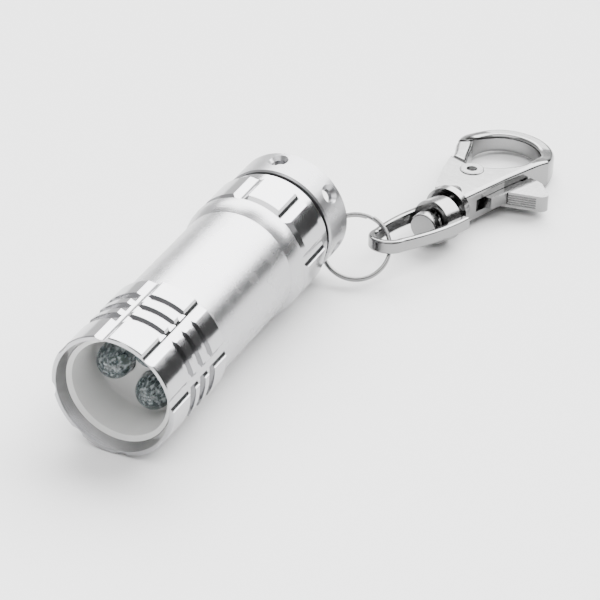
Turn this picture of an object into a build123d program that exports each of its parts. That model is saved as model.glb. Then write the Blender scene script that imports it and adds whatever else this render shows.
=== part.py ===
from build123d import *
import os
from math import cos, radians, sin, sqrt

# Keychain flashlight: a three-LED aluminium torch on four button cells, with a
# tail switch, and a swivelling trigger clasp that hangs on a split ring.
# Millimetres, +Z up. The torch lies along X with its lens end at low X, and the
# clasp lies beside its tail. The origin is under the middle of the whole object,
# on the surface it rests on.

# ---------------------------------------------------------------- driving sizes
rim_x = -47.953  # lens end of the torch
axis_y = 9.346  # torch axis, sideways
clearance = 0.05  # assembly gap on a radius

head_r = 9.0
collar_r = 9.05
tube_r = 8.4
relief_r = 8.45
head_len = 15.0
front_band = 4.65  # plain band before the first ring groove
groove_w = 1.6
groove_r = 8.58
land_w = 1.05
groove_count = 3
flute_count = 8
flute_r = 1.6  # radius of the cutter that makes a flute
flute_floor_r = 8.5  # distance from the axis to the bottom of a flute
clocking = 82.0  # angle of the first flute and of the first cap hole

flare_start = 35.3
flare_end = 38.2
collar_start = 39.4
collar_end = 44.7
barrel_len = 46.4

mouth_r = 8.35  # chamfered mouth of the head
cup_seat_r = 7.75
cup_front = 1.6
board_back = 15.1
battery_bore_r = 7.05
thread_bore_r = 7.4
thread_start = 38.6

led_r = 2.5
led_flange_r = 2.9
led_ring_r = 3.78  # radius of the circle that the LEDs stand on
led_count = 3
led_angle = -0.5  # angle of the first LED
led_dome_x = 7.79  # centre of the LED's dome
led_flange_x = 12.9
led_back = 13.9
lead_side = 0.5
lead_spread = 1.27  # half the distance between the two legs of an LED
lead_end = 15.9

cell_r = 5.8  # LR44 button cell
cell_len = 5.4
cell_count = 4
stack_front = 16.1

cap_start = 47.2
cap_end = 52.7
cap_r = 8.6
cap_recess_r = 7.45
cap_floor = 48.8
spigot_r = 7.3
spigot_start = 40.2
spigot_end = 46.2
spigot_bore_r = 6.1
neck_r = 6.9
thread_pitch = 0.75
thread_depth = 0.25
thread_rings = 7
hole_x = 50.4
spanner_holes = 6
ring_hole_r = 1.4
ring_hole_angle = 223.4

switch_start = 41.4
switch_end = 45.6
button_r = 4.1
button_flange_r = 5.9
button_top = 51.3

ring_wire_r = 0.28
ring_r = 4.78  # radius of the split ring's wire centre
ring_centre = (53.73, -9.4, -4.58)  # from the middle of the rim
ring_normal = (-0.59, -0.318, 0.742)
ring_turns = 1.97

clasp_offset = (71.3, -16.05, -5.7)  # middle of the clasp's collar face, from the rim
clasp_yaw = -5.0
clasp_pitch = -3.6
clasp_half = 2.4  # half the thickness of the clasp's body
bow_centre = (16.9, 0.6)
bow_r = 6.6  # radius of the bow's middle line
bow_w = 2.16
slot_half = 0.95  # half the width of the slot that the gate turns in
slot_front = 2.2
slot_back = 12.4
pivot = (7.8, 0.8)
pin_r = 0.9
gate_tip_r = 9.8  # distance from the pivot to the tip of the gate
gate_gap = 0.15
collar_flange_r = 3.3
collar_flange_len = 1.2
post_r = 0.92
post_head_r = 2.1
post_head_back = 6.45  # from the collar face to the underside of the head
post_head_len = 1.5

boss_r = 3.3
boss_len = 2.8
boss_bore_r = 1.95
boss_offset = 4.4  # from the collar face to the middle of the eye's boss
eye_yaw = 163.5  # direction from the boss to the eye's tip; the eye is loose on
eye_rise = 7.5  # its post, and leans on it
eye_roll = 5.0
eye_slip = (-0.45, -0.15)  # the loose eye hangs this far off its post's axis
eye_len = 13.6  # from the boss to the outside of the eye's tip
eye_back = 2.3  # from the boss to the back ends of the arms
eye_tip_r = 2.9
eye_half_width = 4.1
eye_arm_w = 1.05
eye_half = 0.95  # half the thickness of the eye's arms

# ------------------------------------------------------------------ work frames
# Stations along the torch are measured from the rim, so the torch's own origin
# is the middle of its lens end.
torch_origin = Vector(rim_x, axis_y, collar_r)
torch_axis = Axis(torch_origin, (1, 0, 0))
torch_profile = Plane(torch_origin, x_dir=(1, 0, 0), z_dir=(0, -1, 0))


def across(station):
    """Plane across the torch at a station; its local x and y are Y and Z."""
    return Plane(torch_origin + Vector(station, 0, 0), x_dir=(0, 1, 0), z_dir=(1, 0, 0))


def radial(station, angle, height):
    """Plane that looks outwards from the torch axis at an angle, at a height."""
    out = Vector(0, cos(radians(angle)), sin(radians(angle)))
    return Plane(torch_origin + Vector(station, 0, 0) + out * height, x_dir=(1, 0, 0), z_dir=out)


def turned(name, points, origin=torch_origin):
    """Solid turned from a closed profile of (station, radius) points."""
    with BuildPart() as lathe:
        with BuildSketch(Plane(origin, x_dir=(1, 0, 0), z_dir=(0, -1, 0))):
            with BuildLine():
                Polyline(*points, close=True)
            make_face()
        revolve(axis=Axis(origin, (1, 0, 0)))
    lathe.part.label = name
    return lathe.part


def direction(yaw, pitch):
    """Unit vector from its heading around Z and its rise, in degrees."""
    flat = cos(radians(pitch))
    return Vector(flat * cos(radians(yaw)), flat * sin(radians(yaw)), sin(radians(pitch)))


def save(part, name):
    part.label = name
    export_step(part, f"parts/{name}.step")


os.makedirs("parts", exist_ok=True)

# ----------------------------------------------------------------------- barrel
# Head, tube and collar turned from one bar, then fluted by a ball-nosed cutter.
flare_rise = collar_r - tube_r
flare_len = flare_end - flare_start
flare_arc_r = (flare_len**2 + flare_rise**2) / (2 * flare_rise)
flare_mid = (
    flare_end - flare_len / 2,
    collar_r - flare_arc_r + sqrt(flare_arc_r**2 - (flare_len / 2) ** 2),
)
groove_edges = []
for groove in range(groove_count):
    start = front_band + groove * (groove_w + land_w)
    groove_edges += [(start, head_r), (start, groove_r)]
    groove_edges += [(start + groove_w, groove_r), (start + groove_w, head_r)]

with BuildPart() as barrel:
    with BuildSketch(torch_profile):
        with BuildLine():
            Polyline(
                (0, mouth_r),
                (0, head_r - 0.15),
                (0.15, head_r),
                *groove_edges,
                (head_len - 0.25, head_r),
                (head_len, head_r - 0.25),
                (head_len, tube_r),
                (flare_start, tube_r),
            )
            ThreePointArc((flare_start, tube_r), flare_mid, (flare_end, collar_r))
            Polyline(
                (flare_end, collar_r),
                (flare_end, relief_r),
                (flare_end + 0.3, relief_r),
                (collar_start, collar_r),
                (collar_end - 0.3, collar_r),
                (collar_end, collar_r - 0.3),
                (collar_end, relief_r),
                (barrel_len, relief_r),
                (barrel_len, thread_bore_r),
                (thread_start, thread_bore_r),
                (thread_start, battery_bore_r),
                (board_back, battery_bore_r),
                (board_back, cup_seat_r),
                (cup_front, cup_seat_r),
                (0, mouth_r),
            )
        make_face()
    revolve(axis=torch_axis)
    with BuildSketch(across(-1)):
        with PolarLocations(flute_floor_r + flute_r, flute_count, start_angle=clocking):
            Circle(flute_r)
    extrude(amount=head_len + 2, mode=Mode.SUBTRACT)
    with BuildSketch(across(flare_end + 0.02)):
        with PolarLocations(flute_floor_r + flute_r, flute_count, start_angle=clocking):
            Circle(flute_r)
    extrude(amount=collar_end - flare_end + 0.5, mode=Mode.SUBTRACT)
save(barrel.part, "barrel")

# -------------------------------------------------------------- reflector cup
cup_r = cup_seat_r - clearance
cup_wall_r = 7.05
cup_floor_front = 8.75
cup_floor_back = 9.95
cup_fillet = 0.6
with BuildPart() as reflector_cup:
    with BuildSketch(torch_profile):
        with BuildLine():
            Polyline(
                (cup_floor_front, 0),
                (cup_floor_back, 0),
                (cup_floor_back, cup_wall_r - 0.15),
                (led_back, cup_wall_r - 0.15),
                (led_back, cup_r),
                (cup_front, cup_r),
                (cup_front + 0.4, cup_wall_r),
                (cup_floor_front - cup_fillet, cup_wall_r),
            )
            RadiusArc(
                (cup_floor_front - cup_fillet, cup_wall_r),
                (cup_floor_front, cup_wall_r - cup_fillet),
                cup_fillet,
            )
            Line((cup_floor_front, cup_wall_r - cup_fillet), (cup_floor_front, 0))
        make_face()
    revolve(axis=torch_axis)
    with BuildSketch(across(cup_floor_front - 1)):
        with PolarLocations(led_ring_r, led_count, start_angle=led_angle):
            Circle(led_r + 0.1)
    extrude(amount=cup_floor_back - cup_floor_front + 2, mode=Mode.SUBTRACT)
save(reflector_cup.part, "reflector_cup")

# ------------------------------------------------------------------------ LEDs
# Clear 5 mm LEDs. Each body is moulded around its two legs: the left leg carries
# the die in a small dish, and the right one is the thinner post.
dish_x = 9.0
post_x = 9.4
dish_r = 0.8
dish_len = 1.6


def led_spot(index):
    """Middle of an LED on the front plane of the torch."""
    angle = radians(led_angle + index * 360 / led_count)
    return torch_origin + Vector(0, cos(angle), sin(angle)) * led_ring_r


def leg_plane(index, station):
    """Plane across one LED whose local x runs around the torch."""
    angle = radians(led_angle + index * 360 / led_count)
    around = (0, -sin(angle), cos(angle))
    return Plane(led_spot(index) + Vector(station, 0, 0), x_dir=around, z_dir=(1, 0, 0))


def led_legs(index):
    """Dish, post and both legs of one LED."""
    with BuildPart() as legs:
        with BuildSketch(leg_plane(index, dish_x + dish_len)):
            with Locations((-lead_spread, 0), (lead_spread, 0)):
                Rectangle(lead_side, lead_side)
        extrude(amount=lead_end - dish_x - dish_len)
        with BuildSketch(leg_plane(index, dish_x)):
            with Locations((-dish_r, 0)):
                Circle(dish_r)
        extrude(amount=dish_len)
        with BuildSketch(leg_plane(index, post_x)):
            with Locations((lead_spread - 0.2, 0)):
                Rectangle(1.1, lead_side)
        extrude(amount=dish_x + dish_len - post_x)
    return legs.part


leg_sets = [led_legs(led) for led in range(led_count)]

for led in range(led_count):
    with BuildPart() as led_lens:
        centre = led_spot(led)
        with BuildSketch(Plane(centre, x_dir=(1, 0, 0), z_dir=(0, -1, 0))):
            with BuildLine():
                RadiusArc((led_dome_x - led_r, 0), (led_dome_x, led_r), led_r)
                Polyline(
                    (led_dome_x, led_r),
                    (led_flange_x, led_r),
                    (led_flange_x, led_flange_r),
                    (led_back, led_flange_r),
                    (led_back, 0),
                    (led_dome_x - led_r, 0),
                )
            make_face()
        revolve(axis=Axis(centre, (1, 0, 0)))
        add(leg_sets[led], mode=Mode.SUBTRACT)
    save(led_lens.part, f"led_lens_{led + 1}")

with BuildPart() as led_leads:
    add(leg_sets)
save(led_leads.part, "led_leads")

# --------------------------------------------------------------- circuit board
lead_hole_r = 0.42
with BuildPart() as led_board:
    with BuildSketch(across(led_back)):
        Circle(cup_r)
    extrude(amount=board_back - led_back)
    for led in range(led_count):
        with BuildSketch(leg_plane(led, led_back - 1)):
            with Locations((-lead_spread, 0), (lead_spread, 0)):
                Circle(lead_hole_r)
        extrude(amount=3, mode=Mode.SUBTRACT)
save(led_board.part, "led_board")

with BuildPart() as led_solder:
    for led in range(led_count):
        with BuildSketch(leg_plane(led, board_back)):
            with Locations((-lead_spread, 0), (lead_spread, 0)):
                Circle(0.75)
                Rectangle(lead_side, lead_side, mode=Mode.SUBTRACT)
        extrude(amount=0.6, taper=25)
save(led_solder.part, "led_solder")

resistor_angle = led_angle + 180 / led_count
resistor_spot = Vector(0, cos(radians(resistor_angle)), sin(radians(resistor_angle))) * 4.9
resistor_plane = Plane(
    torch_origin + resistor_spot + Vector(board_back, 0, 0),
    x_dir=(0, -sin(radians(resistor_angle)), cos(radians(resistor_angle))),
    z_dir=(1, 0, 0),
)
with BuildPart() as led_resistor:
    with BuildSketch(resistor_plane):
        Rectangle(2.0, 1.25)
    extrude(amount=0.5)
save(led_resistor.part, "led_resistor")

with BuildPart() as front_contact:
    with BuildSketch(across(board_back)):
        Circle(2.0)
    extrude(amount=stack_front - board_back)
    fillet(front_contact.faces().sort_by(Axis.X)[-1].edges(), 0.3)
save(front_contact.part, "front_contact")

# --------------------------------------------------------------------- battery
stack_back = stack_front + cell_count * cell_len
with BuildPart() as battery_sleeve:
    with BuildSketch(across(stack_front)):
        Circle(battery_bore_r - 0.1)
        Circle(cell_r + 0.1, mode=Mode.SUBTRACT)
    extrude(amount=stack_back - stack_front)
save(battery_sleeve.part, "battery_sleeve")

for cell in range(cell_count):
    front = stack_front + cell * cell_len
    with BuildPart() as button_cell:
        with BuildSketch(across(front)):
            Circle(cell_r)
        extrude(amount=cell_len - 0.5)
        fillet(button_cell.edges(), 0.25)
        with BuildSketch(across(front + cell_len - 0.5)):
            Circle(4.7)
        extrude(amount=0.5)
    save(button_cell.part, f"button_cell_{cell + 1}")

spring_wire_r = 0.25
spring_len = switch_start - stack_back - 2 * spring_wire_r - 0.04
with BuildPart() as negative_spring:
    with BuildLine() as spring_path:
        Helix(
            pitch=spring_len / 4,
            height=spring_len,
            radius=4.0,
            center=torch_origin + Vector(stack_back + spring_wire_r + 0.02, 0, 0),
            direction=(1, 0, 0),
            cone_angle=-20,
        )
    with BuildSketch(Plane(spring_path.line @ 0, z_dir=spring_path.line % 0)):
        Circle(spring_wire_r)
    sweep(path=spring_path.line, is_frenet=True)
save(negative_spring.part, "negative_spring")

# -------------------------------------------------------------------- tail cap
thread_edges = []
for ring in range(thread_rings):
    start = spigot_start + 0.5 + ring * thread_pitch
    thread_edges += [(start, spigot_r), (start + 0.2, spigot_r - thread_depth)]
    thread_edges += [(start + 0.35, spigot_r - thread_depth), (start + 0.55, spigot_r)]

web_start = 47.6
web_hole_r = 4.2
with BuildPart() as tail_cap:
    with BuildSketch(torch_profile):
        with BuildLine():
            Polyline(
                (spigot_start, spigot_bore_r),
                (spigot_start, spigot_r - thread_depth),
                (spigot_start + thread_depth, spigot_r),
                *thread_edges,
                (spigot_end, spigot_r),
                (spigot_end, neck_r),
                (cap_start, neck_r),
                (cap_start, cap_r - 0.25),
                (cap_start + 0.25, cap_r),
                (cap_end - 0.25, cap_r),
                (cap_end, cap_r - 0.25),
                (cap_end, cap_recess_r),
                (cap_floor, cap_recess_r),
                (cap_floor, web_hole_r),
                (web_start, web_hole_r),
                (web_start, spigot_bore_r),
                close=True,
            )
        make_face()
    revolve(axis=torch_axis)
    for hole in range(spanner_holes):
        with Locations(radial(hole_x, clocking + 1 + hole * 360 / spanner_holes, cap_r)):
            CounterSinkHole(radius=1.0, counter_sink_radius=1.5, depth=3)
    with Locations(radial(hole_x, ring_hole_angle, cap_r)):
        CounterSinkHole(radius=ring_hole_r, counter_sink_radius=ring_hole_r + 0.25, depth=3)
save(tail_cap.part, "tail_cap")

o_ring_r = 0.38
with BuildPart() as o_ring:
    with BuildSketch(torch_profile):
        with Locations((cap_start - 0.4, neck_r + 0.44)):
            Circle(o_ring_r)
    revolve(axis=torch_axis)
save(o_ring.part, "o_ring")

# ------------------------------------------------------------------ tail switch
# The button pushes the plunger, and its flange closes the contact below it.
cover_front = 44.8
plunger_front = 44.0
cavity_front = 42.6
cavity_r = 3.0
stem_r = 1.45
switch_r = spigot_bore_r - 0.1
housing = turned(
    "switch_housing",
    [
        (switch_start, 0.8),
        (switch_start, switch_r),
        (cover_front, switch_r),
        (cover_front, cavity_r),
        (cavity_front, cavity_r),
        (cavity_front, 0.8),
    ],
)
save(housing, "switch_housing")

cover = turned(
    "switch_cover",
    [
        (cover_front, stem_r + 0.1),
        (cover_front, switch_r),
        (switch_end, switch_r),
        (switch_end, stem_r + 0.1),
    ],
)
save(cover, "switch_cover")

plunger = turned(
    "switch_plunger",
    [
        (plunger_front, 0),
        (plunger_front, cavity_r - 0.2),
        (cover_front - 0.1, cavity_r - 0.2),
        (cover_front - 0.1, stem_r),
        (46.8, stem_r),
        (46.8, 0),
    ],
)
save(plunger, "switch_plunger")

contact = turned(
    "switch_contact",
    [
        (switch_start - 0.2, 0),
        (switch_start - 0.2, 1.8),
        (switch_start, 1.8),
        (switch_start, 0.75),
        (cavity_front + 0.2, 0.75),
        (cavity_front + 0.2, 0),
    ],
)
save(contact, "switch_contact")

with BuildPart() as switch_spring:
    with BuildLine() as switch_path:
        Helix(
            pitch=0.37,
            height=1.1,
            radius=1.9,
            center=torch_origin + Vector(cavity_front + 0.15, 0, 0),
            direction=(1, 0, 0),
        )
    with BuildSketch(Plane(switch_path.line @ 0, z_dir=switch_path.line % 0)):
        Circle(0.13)
    sweep(path=switch_path.line, is_frenet=True)
save(switch_spring.part, "switch_spring")

retainer = turned(
    "switch_retainer",
    [
        (spigot_start, 4.7),
        (spigot_start, switch_r),
        (switch_start, switch_r),
        (switch_start, 4.7),
    ],
)
save(retainer, "switch_retainer")

dome_start = 49.6
dome_rise = button_top - dome_start
dome_r = (button_r**2 + dome_rise**2) / (2 * dome_rise)
button_front = 46.8
button_inner_r = 2.8
button_inner_end = 49.2
with BuildPart() as rubber_button:
    with BuildSketch(torch_profile):
        with BuildLine():
            Polyline(
                (button_top, 0),
                (button_front, 0),
                (button_front, 1.2),
                (button_inner_end, 1.2),
                (button_inner_end, button_inner_r),
                (button_front, button_inner_r),
                (button_front, button_flange_r),
                (web_start, button_flange_r),
                (web_start, button_r),
                (dome_start, button_r),
            )
            RadiusArc((dome_start, button_r), (button_top, 0), dome_r)
        make_face()
    revolve(axis=torch_axis)
save(rubber_button.part, "rubber_button")

# ------------------------------------------------------------------ split ring
ring_origin = torch_origin + Vector(*ring_centre)
ring_axis = Vector(*ring_normal).normalized()
ring_pitch = 2 * ring_wire_r + 0.03
with BuildPart() as split_ring:
    with BuildLine() as ring_path:
        Helix(
            pitch=ring_pitch,
            height=ring_pitch * ring_turns,
            radius=ring_r,
            center=ring_origin - ring_axis * (ring_pitch * ring_turns / 2),
            direction=ring_axis,
        )
    with BuildSketch(Plane(ring_path.line @ 0, z_dir=ring_path.line % 0)):
        Circle(ring_wire_r)
    sweep(path=ring_path.line, is_frenet=True)
save(split_ring.part, "split_ring")

# ----------------------------------------------------------------- clasp frames
clasp_origin = torch_origin + Vector(*clasp_offset)
clasp_dir = direction(clasp_yaw, clasp_pitch)
clasp_up = direction(clasp_yaw, clasp_pitch + 90)
clasp_side = clasp_up.cross(clasp_dir)
clasp_middle = Plane(clasp_origin, x_dir=clasp_dir, z_dir=clasp_up)
clasp_axis = Axis(clasp_origin, clasp_dir)


def clasp_across(station):
    """Plane across the clasp's swivel axis at a station behind its collar."""
    return Plane(clasp_origin + clasp_dir * station, x_dir=clasp_side, z_dir=clasp_dir)


# ------------------------------------------------------------------- swivel eye
eye_dir = direction(eye_yaw, eye_rise)
eye_origin = clasp_origin - clasp_dir * boss_offset
eye_origin += clasp_side * eye_slip[0] + clasp_up * eye_slip[1]
eye_up = direction(eye_yaw, eye_rise + 90).rotate(Axis((0, 0, 0), eye_dir), eye_roll)
eye_middle = Plane(eye_origin, x_dir=eye_dir, z_dir=eye_up)


def stirrup(inset, back):
    """Closed outline of the eye, set in from its outside, on the eye's plane."""
    tip_r = eye_tip_r - inset
    tip_centre = eye_len - eye_tip_r
    half = eye_half_width - inset
    with BuildSketch() as outline:
        with BuildLine():
            Spline((-back, half - 0.1), (3.5, half), (tip_centre, tip_r))
            ThreePointArc((tip_centre, tip_r), (tip_centre + tip_r, 0), (tip_centre, -tip_r))
            Spline((tip_centre, -tip_r), (3.5, -half), (-back, 0.1 - half))
            Line((-back, 0.1 - half), (-back, half - 0.1))
        make_face()
    return outline.sketch


outer_outline = stirrup(0, eye_back)
inner_outline = stirrup(eye_arm_w, -boss_len / 2 + 0.4)
with BuildPart() as swivel_eye:
    with BuildSketch(eye_middle):
        add(outer_outline)
        add(inner_outline, mode=Mode.SUBTRACT)
    extrude(amount=eye_half, both=True)
    fillet(swivel_eye.edges().filter_by(Axis(eye_origin, eye_up), reverse=True), 0.35)
    with BuildSketch(Plane(eye_origin - eye_dir * (boss_len / 2), z_dir=eye_dir)):
        Circle(boss_r)
    extrude(amount=boss_len)
    with BuildSketch(Plane(eye_origin - eye_dir * (2 * boss_len), z_dir=eye_dir)):
        Circle(boss_bore_r)
    extrude(amount=4 * boss_len, mode=Mode.SUBTRACT)
save(swivel_eye.part, "swivel_eye")

with BuildPart() as swivel_post:
    with BuildSketch(clasp_across(-post_head_back - post_head_len)):
        Circle(post_head_r)
    extrude(amount=post_head_len)
    fillet(swivel_post.edges(), 0.2)
    with BuildSketch(clasp_across(-post_head_back - 0.2)):
        Circle(post_r)
    extrude(amount=post_head_back + 2.1)
save(swivel_post.part, "swivel_post")


# ------------------------------------------------------------------ clasp body
def meet(centre_1, radius_1, centre_2, radius_2):
    """Upper meeting point of two circles, the first one being on the left."""
    apart = sqrt((centre_2[0] - centre_1[0]) ** 2 + (centre_2[1] - centre_1[1]) ** 2)
    along = (apart**2 + radius_1**2 - radius_2**2) / (2 * apart)
    aside = sqrt(radius_1**2 - along**2)
    unit_x = (centre_2[0] - centre_1[0]) / apart
    unit_y = (centre_2[1] - centre_1[1]) / apart
    return (
        centre_1[0] + unit_x * along - unit_y * aside,
        centre_1[1] + unit_y * along + unit_x * aside,
    )


bow_tip_r = gate_tip_r + gate_gap
bow_outer_r = bow_r + bow_w / 2
bow_inner_r = bow_r - bow_w / 2
near_out = (bow_centre[0], bow_centre[1] - bow_outer_r)
near_in = (bow_centre[0], bow_centre[1] - bow_inner_r)
seam_out = (10.3, 5.45)
seam_in = (9.5, 2.75)
neck_half = 2.6
neck_r_front = 3.0
neck_r_back = 2.4
bow_half = 1.45  # half the thickness of the bow's far end
taper_start = 14.5  # the bow thins out from here
taper_end = 21.5
bow_end = 26
tip_inside = meet(pivot, bow_tip_r, bow_centre, bow_inner_r)
tip_outside = meet(pivot, bow_tip_r, bow_centre, bow_outer_r - 0.9)
apex_in = (bow_centre[0] + bow_inner_r, bow_centre[1])
apex_out = (bow_centre[0] + bow_outer_r, bow_centre[1])
shoulder = (
    bow_centre[0] + (bow_outer_r - 0.1) * cos(radians(50)),
    bow_centre[1] + (bow_outer_r - 0.1) * sin(radians(50)),
)
lower_out = (
    bow_centre[0] + bow_outer_r * cos(radians(45)),
    bow_centre[1] - bow_outer_r * sin(radians(45)),
)
with BuildPart() as clasp_body:
    with BuildSketch(clasp_middle):
        with BuildLine():
            Polyline(near_out, (8.0, -4.5), (0, -neck_half), (0, neck_half))
            ThreePointArc((0, neck_half), (5.4, 4.4), seam_out)
            Line(seam_out, seam_in)
            Spline(seam_in, (10.3, -1.4), (12.6, -3.9), near_in, tangents=[(-0.2, -1), (1, 0)])
            ThreePointArc(near_in, apex_in, tip_inside)
            RadiusArc(tip_inside, tip_outside, -bow_tip_r)
            ThreePointArc(tip_outside, shoulder, apex_out)
            ThreePointArc(apex_out, lower_out, near_out)
        make_face()
    extrude(amount=clasp_half, both=True)
    with BuildSketch(Plane(clasp_origin, x_dir=clasp_dir, z_dir=-clasp_side)):
        with BuildLine():
            Polyline(
                (taper_start, clasp_half),
                (-2, clasp_half),
                (-2, -clasp_half),
                (taper_start, -clasp_half),
            )
            Spline(
                (taper_start, -clasp_half), (taper_end, -bow_half), tangents=[(1, 0), (1, 0)]
            )
            Polyline(
                (taper_end, -bow_half),
                (bow_end, -bow_half),
                (bow_end, bow_half),
                (taper_end, bow_half),
            )
            Spline((taper_end, bow_half), (taper_start, clasp_half), tangents=[(-1, 0), (-1, 0)])
        make_face()
    extrude(amount=12, both=True, mode=Mode.INTERSECT)
    bow_edges = []
    for edge in clasp_body.edges():
        place = clasp_middle.to_local_coords(edge.center())
        if abs(place.Z) > 0.9 and place.X > 11 and edge.length > 2.5:
            bow_edges.append(edge)
    fillet(bow_edges, 0.6)
    with BuildSketch(clasp_middle):
        with Locations(((slot_front + slot_back) / 2, 0)):
            Rectangle(slot_back - slot_front, 20)
    extrude(amount=slot_half, both=True, mode=Mode.SUBTRACT)
    with BuildSketch(clasp_across(-collar_flange_len)):
        Circle(collar_flange_r)
    extrude(amount=collar_flange_len)
    with BuildSketch(clasp_across(0)):
        Circle(neck_r_front)
    with BuildSketch(clasp_across(2.1)):
        Circle(neck_r_back)
    loft()
    with BuildSketch(clasp_across(-2)):
        Circle(post_r + 0.02)
    extrude(amount=4, mode=Mode.SUBTRACT)
    with BuildSketch(clasp_middle.offset(-4)):
        with Locations(pivot):
            Circle(pin_r + 0.02)
    extrude(amount=8, mode=Mode.SUBTRACT)
save(clasp_body.part, "clasp_body")

# ------------------------------------------------------------------ clasp gate
# A lever on the pin: the jaw closes the bow, and the thumb tab opens the jaw.
jaw_half = 2.2
hub_half = slot_half - 0.07
jaw_round = 0.6
tab_bottom = -1.6
tab_top = 0.85
spring_pocket_r = 1.6
spring_pocket_depth = 0.9
gate_tip_in = (pivot[0] + sqrt(gate_tip_r**2 - 4.5**2), pivot[1] + 4.5)
gate_tip_out = meet(pivot, gate_tip_r, bow_centre, bow_outer_r - 0.9)
jaw_root_out = (10.5, 5.5)
jaw_root_in = (9.75, 2.85)
with BuildPart() as clasp_gate:
    with BuildSketch(clasp_middle):
        with BuildLine():
            Spline(jaw_root_out, (12.6, 6.2), gate_tip_out, tangents=[(1, 0.3), (1, 0.15)])
            RadiusArc(gate_tip_out, gate_tip_in, gate_tip_r)
            Spline(gate_tip_in, (13.0, 4.0), jaw_root_in, tangents=[(-1, -0.5), (-1, -0.3)])
            Line(jaw_root_in, jaw_root_out)
        make_face()
    extrude(amount=jaw_half, both=True)
    fillet(clasp_gate.edges().filter_by(Axis(clasp_origin, clasp_up), reverse=True), jaw_round)
    with BuildSketch(clasp_middle):
        with Locations(pivot):
            Circle(2.3)
        with BuildLine():
            Polyline((7.2, 3.0), (10.9, 5.2), (10.2, 3.1), (9.4, 1.0), close=True)
        make_face()
        with BuildLine():
            Polyline(
                (6.0, 1.8),
                (4.0, -2.6),
                (4.0, -4.6),
                (6.8, -5.6),
                (11.2, -6.2),
                (11.2, -3.6),
                (9.8, 0),
                close=True,
            )
        make_face()
    extrude(amount=hub_half, both=True)
    with BuildSketch(clasp_middle.offset(tab_bottom)):
        with BuildLine():
            Polyline((10.5, -10.1), (12.4, -8.4), (13.0, -6.2), (6.9, -4.55), (8.45, -10.2))
            ThreePointArc((8.45, -10.2), (9.4, -10.9), (10.5, -10.1))
        make_face()
    extrude(amount=tab_top - tab_bottom)
    with BuildSketch(clasp_middle.offset(-4)):
        with Locations(pivot):
            Circle(pin_r + clearance)
    extrude(amount=8, mode=Mode.SUBTRACT)
    with BuildSketch(clasp_middle.offset(-hub_half)):
        with Locations(pivot):
            Circle(spring_pocket_r)
    extrude(amount=spring_pocket_depth, mode=Mode.SUBTRACT)
save(clasp_gate.part, "clasp_gate")

# ------------------------------------------------------------- pin and spring
pin_head_r = 1.55
pin_head_h = 0.15
with BuildPart() as gate_pin:
    with BuildSketch(clasp_middle.offset(-clasp_half - pin_head_h)):
        with Locations(pivot):
            Circle(pin_head_r)
    extrude(amount=pin_head_h)
    with BuildSketch(clasp_middle.offset(-clasp_half)):
        with Locations(pivot):
            Circle(pin_r)
    extrude(amount=2 * clasp_half)
    with BuildSketch(clasp_middle.offset(clasp_half)):
        with Locations(pivot):
            Circle(pin_head_r)
    extrude(amount=pin_head_h)
    with BuildSketch(clasp_middle.offset(clasp_half + pin_head_h)):
        with Locations(pivot):
            Circle(0.8)
    extrude(amount=-0.45, taper=30, mode=Mode.SUBTRACT)
save(gate_pin.part, "gate_pin")

gate_wire_r = 0.15
spring_foot = clasp_origin + clasp_dir * pivot[0] + clasp_side * pivot[1]
with BuildPart() as gate_spring:
    with BuildLine() as coil_path:
        Helix(
            pitch=2 * gate_wire_r + 0.02,
            height=0.5,
            radius=pin_r + 0.4,
            center=spring_foot - clasp_up * (hub_half - gate_wire_r),
            direction=clasp_up,
        )
    with BuildSketch(Plane(coil_path.line @ 0, z_dir=coil_path.line % 0)):
        Circle(gate_wire_r)
    sweep(path=coil_path.line, is_frenet=True)
save(gate_spring.part, "gate_spring")
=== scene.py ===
from math import cos, radians, sin

import bmesh
import bpy
from mathutils import Matrix, Vector


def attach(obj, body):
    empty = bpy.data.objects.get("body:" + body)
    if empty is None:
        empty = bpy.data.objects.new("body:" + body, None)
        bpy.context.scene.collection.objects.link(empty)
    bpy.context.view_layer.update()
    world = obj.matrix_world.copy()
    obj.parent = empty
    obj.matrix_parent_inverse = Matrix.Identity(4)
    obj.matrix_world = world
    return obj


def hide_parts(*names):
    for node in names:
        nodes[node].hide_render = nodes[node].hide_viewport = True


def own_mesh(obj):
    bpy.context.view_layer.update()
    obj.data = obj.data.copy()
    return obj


# Looks of the keychain flashlight. Metres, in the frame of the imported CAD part.
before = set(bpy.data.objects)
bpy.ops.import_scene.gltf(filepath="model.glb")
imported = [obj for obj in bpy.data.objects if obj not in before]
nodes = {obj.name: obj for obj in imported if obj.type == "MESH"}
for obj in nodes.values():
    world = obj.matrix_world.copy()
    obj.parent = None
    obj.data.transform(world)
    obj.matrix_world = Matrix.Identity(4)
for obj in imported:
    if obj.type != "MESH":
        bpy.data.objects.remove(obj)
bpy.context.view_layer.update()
MM = 0.001

# ------------------------------------------------------------------ work frames
RIM = Vector((-47.953, 9.346, 9.05)) * MM  # middle of the torch's lens end
LED_RING = 3.78 * MM
LED_ANGLES = [-0.5, 119.5, 239.5]


def direction(yaw, pitch):
    """Unit vector from its heading around Z and its rise, in degrees."""
    flat = cos(radians(pitch))
    return Vector((flat * cos(radians(yaw)), flat * sin(radians(yaw)), sin(radians(pitch))))


CLASP = RIM + Vector((71.3, -16.05, -5.7)) * MM
CLASP_DIR = direction(-5, -3.6)
CLASP_UP = direction(-5, 86.4)
CLASP_SIDE = CLASP_UP.cross(CLASP_DIR)
CLASP_TURN = Matrix((CLASP_DIR, CLASP_SIDE, CLASP_UP)).transposed().to_4x4()
CLASP_FRAME = Matrix.Translation(CLASP) @ CLASP_TURN
PIN = (7.8, 0.8)  # the gate's pin, on the clasp's middle plane
PLATE_HALF = 2.4  # half the thickness of the clasp's body


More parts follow.
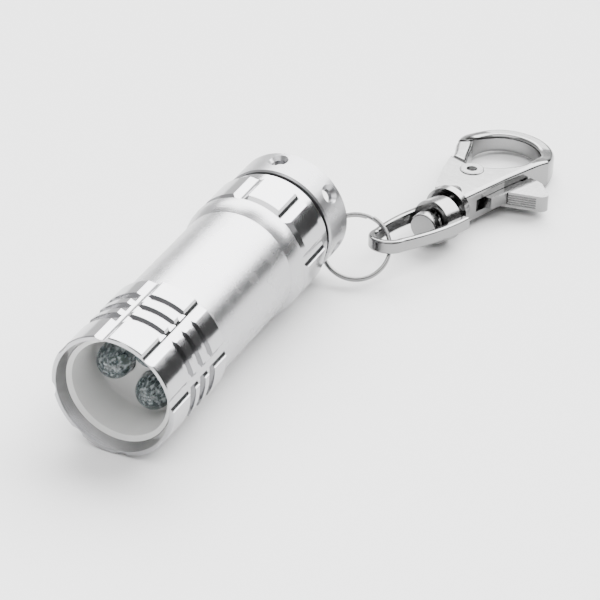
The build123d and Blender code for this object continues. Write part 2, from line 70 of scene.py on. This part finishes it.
# -------------------------------------------------------------------- materials
class Look:
    """A node material around one Principled shader."""

    def __init__(self, name, color, roughness, metallic=0.0):
        self.mat = bpy.data.materials.new(name)
        self.mat.use_nodes = True
        self.tree = self.mat.node_tree
        self.shader = self.tree.nodes["Principled BSDF"]
        self.coords = self.tree.nodes.new("ShaderNodeTexCoord").outputs["Object"]
        self.set("Base Color", (*color, 1))
        self.set("Roughness", roughness)
        self.set("Metallic", metallic)
        self.height = None

    def set(self, socket, value):
        self.shader.inputs[socket].default_value = value

    def node(self, kind, **inputs):
        made = self.tree.nodes.new(kind)
        for key, value in inputs.items():
            made.inputs[key].default_value = value
        return made

    def link(self, output, target):
        self.tree.links.new(output, target)

    def noise(self, scale, detail=3.0, stretch=(1, 1, 1)):
        """Noise of a size per metre, stretched along the axes."""
        mapping = self.node("ShaderNodeMapping", Scale=stretch)
        self.link(self.coords, mapping.inputs["Vector"])
        noise = self.node("ShaderNodeTexNoise", Scale=scale, Detail=detail)
        self.link(mapping.outputs["Vector"], noise.inputs["Vector"])
        return noise.outputs["Fac"]

    def lathe(self, scale):
        """Noise that changes almost only along the torch, like tool marks."""
        return self.noise(scale, 4.0, (1, 0.0005, 0.0005))

    def ramp(self, factor, low, high, start=0.3, end=0.7):
        """Values from low to high where the factor goes from start to end."""
        mapped = self.node("ShaderNodeMapRange")
        mapped.inputs["From Min"].default_value = start
        mapped.inputs["From Max"].default_value = end
        mapped.inputs["To Min"].default_value = low
        mapped.inputs["To Max"].default_value = high
        self.link(factor, mapped.inputs["Value"])
        return mapped.outputs["Result"]

    def math(self, operation, first, second):
        made = self.tree.nodes.new("ShaderNodeMath")
        made.operation = operation
        for socket, value in zip(made.inputs, (first, second)):
            if isinstance(value, (int, float)):
                socket.default_value = value
            else:
                self.link(value, socket)
        return made.outputs[0]

    def station(self, start, end, soft):
        """1 between two stations along the torch and 0 outside, in millimetres."""
        split = self.tree.nodes.new("ShaderNodeSeparateXYZ")
        self.link(self.coords, split.inputs[0])
        x = split.outputs["X"]
        first, last, edge = RIM.x + start * MM, RIM.x + end * MM, soft * MM
        rise = self.ramp(x, 0, 1, first - edge, first + edge)
        fall = self.ramp(x, 1, 0, last - edge, last + edge)
        return self.math("MULTIPLY", rise, fall)

    def roughness(self, output):
        self.link(output, self.shader.inputs["Roughness"])

    def tint(self, factor, dark, light):
        """Colour that varies between two tones."""
        mix = self.tree.nodes.new("ShaderNodeMix")
        mix.data_type = "RGBA"
        mix.inputs[6].default_value = (*dark, 1)
        mix.inputs[7].default_value = (*light, 1)
        self.link(factor, mix.inputs[0])
        self.link(mix.outputs[2], self.shader.inputs["Base Color"])

    def bump(self, factor, depth, strength=1.0):
        """Relief of a depth in metres, on top of any relief before it."""
        bump = self.node("ShaderNodeBump", Strength=strength, Distance=depth)
        self.link(factor, bump.inputs["Height"])
        if self.height:
            self.link(self.height, bump.inputs["Normal"])
        self.height = bump.outputs["Normal"]
        self.link(self.height, self.shader.inputs["Normal"])


def aluminium(name, color, smooth, satin, satin_from, satin_to):
    """Turned bar: bright bands, and a satin stretch with tool marks."""
    look = Look(name, color, smooth, 1.0)
    zone = look.station(satin_from, satin_to, 0.1)
    marks = look.lathe(9000)
    stains = look.noise(350, 2.0)
    wear = look.ramp(stains, 0.0, 0.05)
    satin_part = look.math("MULTIPLY", zone, satin - smooth)
    worn = look.math("ADD", satin_part, wear)
    look.roughness(look.math("ADD", worn, smooth))
    look.tint(stains, [0.95 * c for c in color], [min(1.0, 1.02 * c) for c in color])
    look.bump(look.math("MULTIPLY", marks, look.math("ADD", zone, 0.25)), 0.000012)
    look.bump(look.noise(2600, 2.0), 0.0000015)
    return look.mat


def chrome(name, roughness, color):
    """Bright plating over a casting that is not quite flat."""
    look = Look(name, (color, color, color), roughness, 1.0)
    cast = look.noise(260, 2.0)
    grain = look.noise(2400, 4.0)
    look.tint(cast, [0.93 * color] * 3, [min(1.0, 1.05 * color)] * 3)
    look.roughness(look.ramp(grain, roughness, roughness + 0.09))
    look.bump(cast, 0.000012)
    look.bump(grain, 0.000002)
    return look.mat


def plastic(name, dark, light, roughness, grain_depth):
    """Moulded plastic or rubber with a fine grain and slightly uneven colour."""
    look = Look(name, light, roughness)
    patches = look.noise(300, 3.0)
    grain = look.noise(5200, 3.0)
    look.tint(patches, dark, light)
    look.roughness(look.ramp(grain, roughness, roughness + 0.12))
    look.bump(grain, grain_depth)
    return look


def metal(name, dark, light, roughness, scale):
    """Plain stamped or drawn metal with fine scratches."""
    look = Look(name, light, roughness, 1.0)
    scratches = look.noise(scale, 5.0, (1, 0.25, 1))
    look.tint(scratches, dark, light)
    look.roughness(look.ramp(scratches, roughness, roughness + 0.15))
    look.bump(scratches, 0.000003)
    return look.mat


def clear_epoxy():
    look = Look("led_epoxy", (0.93, 0.97, 0.93), 0.02)
    look.set("Transmission Weight", 0.55)
    look.set("IOR", 1.53)
    haze = look.noise(900, 3.0)
    specks = look.noise(2300, 1.0, (0.5, 1, 1))
    look.tint(look.ramp(specks, 0, 1, 0.45, 0.75), (0.10, 0.135, 0.14), (0.72, 0.80, 0.82))
    look.roughness(look.ramp(haze, 0.02, 0.10))
    look.bump(specks, 0.00003)
    return look.mat


cup_white = plastic("cup_white", (0.64, 0.64, 0.63), (0.72, 0.72, 0.71), 0.34, 0.000002)
cup_white.set("Subsurface Weight", 0.15)
cup_white.set("Subsurface Radius", (0.001, 0.001, 0.001))
black = plastic("black_moulding", (0.012, 0.012, 0.013), (0.035, 0.035, 0.037), 0.5, 0.000005).mat
rubber = plastic("black_rubber", (0.010, 0.010, 0.010), (0.028, 0.028, 0.028), 0.62, 0.000008).mat
board = plastic("board_mask", (0.02, 0.16, 0.06), (0.04, 0.26, 0.10), 0.4, 0.000003).mat
phosphor = plastic("led_phosphor", (0.62, 0.62, 0.50), (0.85, 0.86, 0.74), 0.6, 0.000004).mat
barrel_metal = aluminium("turned_aluminium", (0.42, 0.42, 0.43), 0.10, 0.24, 14.9, 38.2)
cap_metal = aluminium("cap_aluminium", (0.35, 0.35, 0.36), 0.16, 0.26, 47.0, 53.0)
plating = chrome("chrome_plating", 0.12, 0.24)
# A darker, rougher copy of the plating for the tab's ribs: painted shade, not a different finish.
painted_shade_plating = chrome("shaded_plating", 0.2, 0.16)
ring_steel = chrome("ring_steel", 0.15, 0.25)
wire_steel = metal("wire_steel", (0.55, 0.55, 0.55), (0.78, 0.78, 0.78), 0.2, 1500)
cell_steel = metal("cell_steel", (0.62, 0.61, 0.59), (0.80, 0.79, 0.77), 0.25, 900)
brass = metal("contact_brass", (0.62, 0.44, 0.18), (0.85, 0.66, 0.32), 0.25, 1200)
epoxy = clear_epoxy()

NODE_LOOKS = {
    "barrel": barrel_metal,
    "reflector_cup": cup_white.mat,
    "led_lens_1": epoxy,
    "led_lens_2": epoxy,
    "led_lens_3": epoxy,
    "led_leads": wire_steel,
    "led_board": board,
    "led_solder": wire_steel,
    "led_resistor": black,
    "front_contact": brass,
    "battery_sleeve": black,
    "button_cell_1": cell_steel,
    "button_cell_2": cell_steel,
    "button_cell_3": cell_steel,
    "button_cell_4": cell_steel,
    "negative_spring": wire_steel,
    "tail_cap": cap_metal,
    "o_ring": rubber,
    "switch_housing": black,
    "switch_cover": black,
    "switch_plunger": black,
    "switch_contact": brass,
    "switch_spring": wire_steel,
    "switch_retainer": black,
    "rubber_button": rubber,
    "split_ring": ring_steel,
    "swivel_eye": plating,
    "swivel_post": plating,
    "clasp_body": plating,
    "clasp_gate": plating,
    "gate_pin": plating,
    "gate_spring": wire_steel,
}
for name, look in NODE_LOOKS.items():
    mesh = nodes[name].data
    mesh.materials.clear()
    mesh.materials.append(look)


# ----------------------------------------------------------------- added pieces
def piece(name, mesh_maker, place, body, look):
    """Object from a bmesh in millimetres, placed in the row frame."""
    shape = bmesh.new()
    mesh_maker(shape)
    bmesh.ops.scale(shape, vec=(MM, MM, MM), verts=shape.verts)
    bmesh.ops.recalc_face_normals(shape, faces=shape.faces)
    mesh = bpy.data.meshes.new(name)
    shape.to_mesh(mesh)
    shape.free()
    mesh.polygons.foreach_set("use_smooth", [True] * len(mesh.polygons))
    mesh.materials.append(look)
    made = bpy.data.objects.new(name, mesh)
    bpy.context.scene.collection.objects.link(made)
    made.matrix_world = place
    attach(made, body)
    return made


def ring_maker(profile, count=72):
    """Ring around local Z from a closed profile of (radius, height) points."""

    def make(shape):
        loops = []
        for step in range(count):
            turn = radians(360 / count * step)
            loops.append([shape.verts.new((r * cos(turn), r * sin(turn), h)) for r, h in profile])
        for step in range(count):
            near, far = loops[step], loops[(step + 1) % count]
            for side in range(len(profile)):
                other = (side + 1) % len(profile)
                shape.faces.new((near[side], near[other], far[other], far[side]))

    return make


def bead(radius, wire, height, count=10):
    """Round profile of a wire ring that is half sunk at a height."""
    turns = [radians(360 / count * step) for step in range(count)]
    return [(radius + wire * cos(turn), height + wire * sin(turn)) for turn in turns]


def at_clasp(x, y, z=0.0):
    return CLASP_FRAME @ Matrix.Translation(Vector((x, y, z)) * MM)


# Raised lips round the two heads of the gate's pin.
lip_maker = ring_maker(bead(1.62, 0.16, 0))
for lip_name, lip_height in (("rivet_lip", PLATE_HALF), ("rivet_lip_below", -PLATE_HALF)):
    piece(lip_name, lip_maker, at_clasp(*PIN, lip_height), "clasp", plating)


def ribs_maker(count, pitch, half_height, width, depth):
    """Rounded upright ribs along local X that stand out along local Y."""

    def make(shape):
        arc = [(cos(radians(a)), sin(radians(a))) for a in range(0, 181, 20)]
        for rib in range(count):
            middle = (rib - (count - 1) / 2) * pitch
            rows = []
            for level in (-1, -0.92, 0.92, 1):
                shrink = 0.6 if abs(level) == 1 else 1
                rows.append(
                    [
                        shape.verts.new(
                            (middle + width / 2 * c * shrink, depth * s * shrink, half_height * level)
                        )
                        for c, s in arc
                    ]
                )
            for low, high in zip(rows, rows[1:]):
                for step in range(len(arc)):
                    other = (step + 1) % len(arc)
                    shape.faces.new((low[step], low[other], high[other], high[step]))
            shape.faces.new(rows[0])
            shape.faces.new(rows[-1][::-1])

    return make


# Grip ribs on the face of the thumb tab, in a darker copy of the plating: painted shade that makes
# them dark stripes.
tab_from = Vector((7.05, -5.0, 0))
tab_to = Vector((8.4, -10.0, 0))
tab_run = (tab_to - tab_from).normalized()
tab_out = Vector((tab_run.y, -tab_run.x, 0))
tab_up = tab_run.cross(tab_out)
tab_frame = Matrix((tab_run, tab_out, tab_up)).transposed().to_4x4()
tab_middle = (tab_from + tab_to) / 2 + Vector((0, 0, -0.38))
piece(
    "thumb_ribs",
    ribs_maker(5, 0.36, 2.2, 0.24, 0.14),
    at_clasp(*tab_middle) @ tab_frame @ Matrix.Rotation(radians(90), 4, "Y"),
    "gate",
    painted_shade_plating,
)


def drop_maker(radius, height):
    """Shallow drop on local Z."""

    def make(shape):
        bmesh.ops.create_uvsphere(shape, u_segments=24, v_segments=12, radius=radius)
        bmesh.ops.scale(shape, vec=(1, 1, height / radius), verts=shape.verts)

    return make


# Phosphor on each LED's die, inside its clear body.
for index, angle in enumerate(LED_ANGLES):
    out = Vector((0, cos(radians(angle)), sin(radians(angle))))
    around = Vector((0, -sin(radians(angle)), cos(radians(angle))))
    spot = RIM + out * LED_RING + Vector((9.0 * MM, 0, 0)) - around * (0.8 * MM)
    place = Matrix.Translation(spot) @ Matrix.Rotation(radians(-90), 4, "Y")
    piece(f"led_die_{index + 1}", drop_maker(0.5, 0.22), place, "torch", phosphor)


# A copy of the switch's spring with a mesh of its own, on the cap; the original part is hidden.
coil = bpy.data.objects.new("switch_coil", nodes["switch_spring"].data.copy())
bpy.context.scene.collection.objects.link(coil)
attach(coil, "cap")
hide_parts("switch_spring")
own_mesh(coil)


# ------------------------------------------------------------------------ stage
def floor_material():
    look = Look("floor_paper", (0.9, 0.9, 0.9), 0.9)
    look.tint(look.noise(40, 2.0), (0.895, 0.895, 0.895), (0.905, 0.905, 0.905))
    return look.mat


floor_mesh = bpy.data.meshes.new("floor")
floor_mesh.from_pydata([(-3, -3, 0), (3, -3, 0), (3, 3, 0), (-3, 3, 0)], [], [(0, 1, 2, 3)])
floor_mesh.materials.append(floor_material())
floor = bpy.data.objects.new("floor", floor_mesh)
bpy.context.scene.collection.objects.link(floor)

# Sky of a studio: a bright panel behind the object, a white dome, and a dark gap
# near the horizon on the camera's side that the polished metal mirrors.
PANEL_LEVEL = 12.0
DOME_LEVEL = 0.8
GAP_LEVEL = 0.12
BACK_LEVEL = 1.5
world = bpy.data.worlds.new("studio")
bpy.context.scene.world = world
world.use_nodes = True
sky = world.node_tree
split = sky.nodes.new("ShaderNodeSeparateXYZ")
sky.links.new(sky.nodes.new("ShaderNodeTexCoord").outputs["Generated"], split.inputs[0])


def sky_math(operation, *values):
    made = sky.nodes.new("ShaderNodeMath")
    made.operation = operation
    for socket, value in zip(made.inputs, values):
        if isinstance(value, (int, float)):
            socket.default_value = value
        else:
            sky.links.new(value, socket)
    return made.outputs[0]


def sky_step(value, start, end, low, high):
    made = sky.nodes.new("ShaderNodeMapRange")
    for socket, number in zip(made.inputs[1:5], (start, end, low, high)):
        socket.default_value = number
    sky.links.new(value, made.inputs[0])
    return made.outputs[0]


heading = sky_math("ARCTAN2", split.outputs["Y"], split.outputs["X"])
height = split.outputs["Z"]
gap = sky_step(heading, radians(-5), radians(25), GAP_LEVEL, BACK_LEVEL)
above_gap = sky_step(height, 0.38, 0.41, 0, 1)
dome = sky_math("MULTIPLY", above_gap, DOME_LEVEL)
below = sky_math("MULTIPLY", sky_math("SUBTRACT", 1, above_gap), gap)
panel_sides = sky_math(
    "MULTIPLY",
    sky_step(heading, radians(-62), radians(-55), 0, 1),
    sky_step(heading, radians(52), radians(62), 1, 0),
)
panel = sky_math("MULTIPLY", panel_sides, sky_step(height, 0.86, 0.95, PANEL_LEVEL, 0))
panel = sky_math("MULTIPLY", panel, above_gap)
background = sky.nodes["Background"]
background.inputs["Color"].default_value = (1, 1, 1, 1)
sky.links.new(sky_math("ADD", sky_math("ADD", dome, below), panel), background.inputs["Strength"])


def softbox(name, place, aim, width, height, watts):
    light = bpy.data.lights.new(name, "AREA")
    light.shape = "RECTANGLE"
    light.size, light.size_y = width, height
    light.energy = watts
    lamp = bpy.data.objects.new(name, light)
    lamp.location = place
    lamp.rotation_euler = (Vector(aim) - Vector(place)).to_track_quat("-Z", "Y").to_euler()
    bpy.context.scene.collection.objects.link(lamp)


softbox("top_softbox", (-0.25, -0.1, 0.8), (0, 0, 0), 0.8, 0.6, 5)

# ----------------------------------------------------------------------- camera
AIM = Vector((-16.527, -2.26, 9.05)) * MM
LOOK_DIR = Vector((0.7556, 0.3706, -0.5401)).normalized()
camera_data = bpy.data.cameras.new("camera")
camera_data.lens = 206.7
camera_data.sensor_width = 36
camera_data.clip_start = 0.01
camera = bpy.data.objects.new("camera", camera_data)
camera.location = AIM - LOOK_DIR * (463.72 * MM)
camera.rotation_euler = LOOK_DIR.to_track_quat("-Z", "Y").to_euler()
bpy.context.scene.collection.objects.link(camera)
bpy.context.scene.camera = camera
